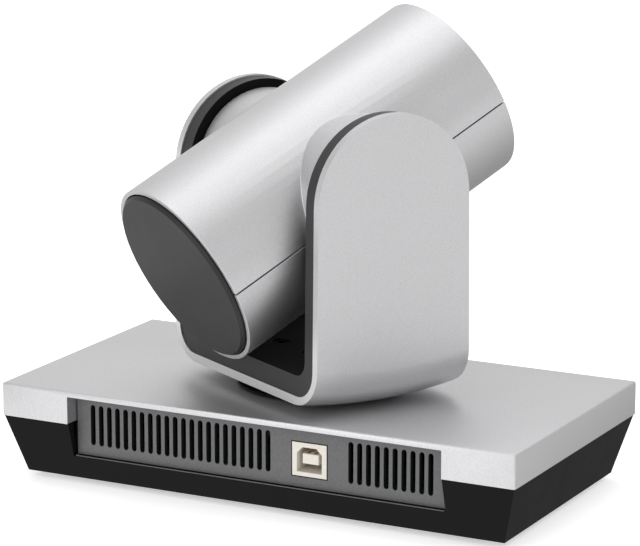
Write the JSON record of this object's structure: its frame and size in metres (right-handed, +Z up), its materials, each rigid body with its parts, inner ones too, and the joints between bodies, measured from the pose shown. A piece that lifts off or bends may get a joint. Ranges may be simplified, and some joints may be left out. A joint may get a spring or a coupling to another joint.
{
  "type": "pan tilt zoom camera",
  "caption": "Desktop pan tilt zoom camera: a vented rectangular base with a rear port, a U-shaped yoke that turns on it and a cylindrical camera barrel that tilts between its arms.",
  "frame": {"origin": "on the pan axis, at the middle of the tripod plate's face under the base", "axes": "+Z is up along the pan axis, -Y is the front that the lens faces at pan 0, +Y is the side of the rear panel, and +X is along the base's long side"},
  "size_m": [0.18, 0.1251, 0.1509],
  "materials": {
    "silver_paint": "fine metallic silver paint, satin",
    "black_plastic": "fine matt texture",
    "dark_plastic": "smooth satin dark grey",
    "panel_grey": "fine matt texture",
    "port_white": "smooth",
    "rubber": "matt",
    "steel": "plain",
    "black_steel": "black oxide",
    "brass": "machined",
    "aluminium": "plain",
    "circuit_green": "solder mask",
    "smoked_window": "polished, infrared passing",
    "lens_glass": "coated",
    "gear_white": "moulded"
  },
  "bodies": {
    "base": {"base_cover": "silver_paint", "base_shell": "black_plastic", "rear_io_panel": "panel_grey", "usb_housing": "port_white", "usb_tongue": "port_white", "main_board": "circuit_green", "heat_sink": "aluminium", "ir_window": "smoked_window", "status_led": "gear_white", "rubber_foot_1": "rubber", "rubber_foot_2": "rubber", "rubber_foot_3": "rubber", "rubber_foot_4": "rubber", "base_screw_1": "steel", "base_screw_2": "steel", "base_screw_3": "steel", "base_screw_4": "steel", "tripod_plate": "steel", "pan_bearing": "steel", "pan_motor": "steel"},
    "pan_pinion": {"pan_pinion": "brass"},
    "yoke": {"turntable": "black_plastic", "pan_gear": "gear_white", "yoke_shell": "silver_paint", "yoke_liner": "dark_plastic", "neck_screw_1": "black_steel", "neck_screw_2": "black_steel", "neck_screw_3": "black_steel", "neck_screw_4": "black_steel", "tilt_axle_left": "steel", "tilt_axle_right": "steel", "tilt_gear": "gear_white"},
    "barrel": {"barrel_upper_shell": "silver_paint", "barrel_lower_shell": "silver_paint", "rear_cap": "dark_plastic", "front_bezel": "black_plastic", "front_glass": "lens_glass", "lens_shroud": "black_plastic", "lens_housing": "black_plastic", "lens_retainer": "black_plastic", "front_element": "lens_glass", "sensor_board": "circuit_green", "guide_rod_1": "steel", "guide_rod_2": "steel", "zoom_motor": "steel", "focus_motor": "steel", "lens_bracket": "aluminium", "image_board": "circuit_green", "tilt_motor": "steel", "tilt_bearing_left": "steel", "tilt_bearing_right": "steel"},
    "focus_group": {"focus_group_carrier": "black_plastic", "focus_group_lens": "lens_glass"},
    "zoom_group": {"zoom_group_carrier": "black_plastic", "zoom_group_lens": "lens_glass"},
    "tilt_pinion": {"tilt_pinion": "brass"}
  },
  "joints": [
    {"name": "pan", "type": "hinge", "parent": "base", "child": "yoke", "pos_m": [0, 0, 0.03], "axis": [0, 0, 1], "range_deg": [-139.7, 200.3]},
    {"name": "tilt", "type": "hinge", "parent": "yoke", "child": "barrel", "pos_m": [0, 0, 0.0961], "axis": [-0.8634, 0.5045, 0], "range_deg": [-56.9, 3.1]},
    {"name": "pan_pinion_spin", "type": "hinge", "parent": "base", "child": "pan_pinion", "pos_m": [0.02359, -0.01652, 0.0222], "axis": [0, 0, 1], "range_deg": [-1010, 710]},
    {"name": "tilt_pinion_spin", "type": "hinge", "parent": "barrel", "child": "tilt_pinion", "pos_m": [-0.01544, 0.0271, 0.08818], "axis": [-0.8634, 0.5045, 0], "range_deg": [-240, 20]},
    {"name": "focus_slide", "type": "slide", "parent": "barrel", "child": "focus_group", "axis": [-0.4499, -0.77, 0.4524], "range_m": [-0.003, 0.003]},
    {"name": "zoom_slide", "type": "slide", "parent": "barrel", "child": "zoom_group", "axis": [-0.4499, -0.77, 0.4524], "range_m": [-0.006, 0.009]}
  ],
  "couplings": [
    {"joint": "pan_pinion_spin", "follows": "pan", "ratio": -5},
    {"joint": "tilt_pinion_spin", "follows": "tilt", "ratio": 4}
  ]
}
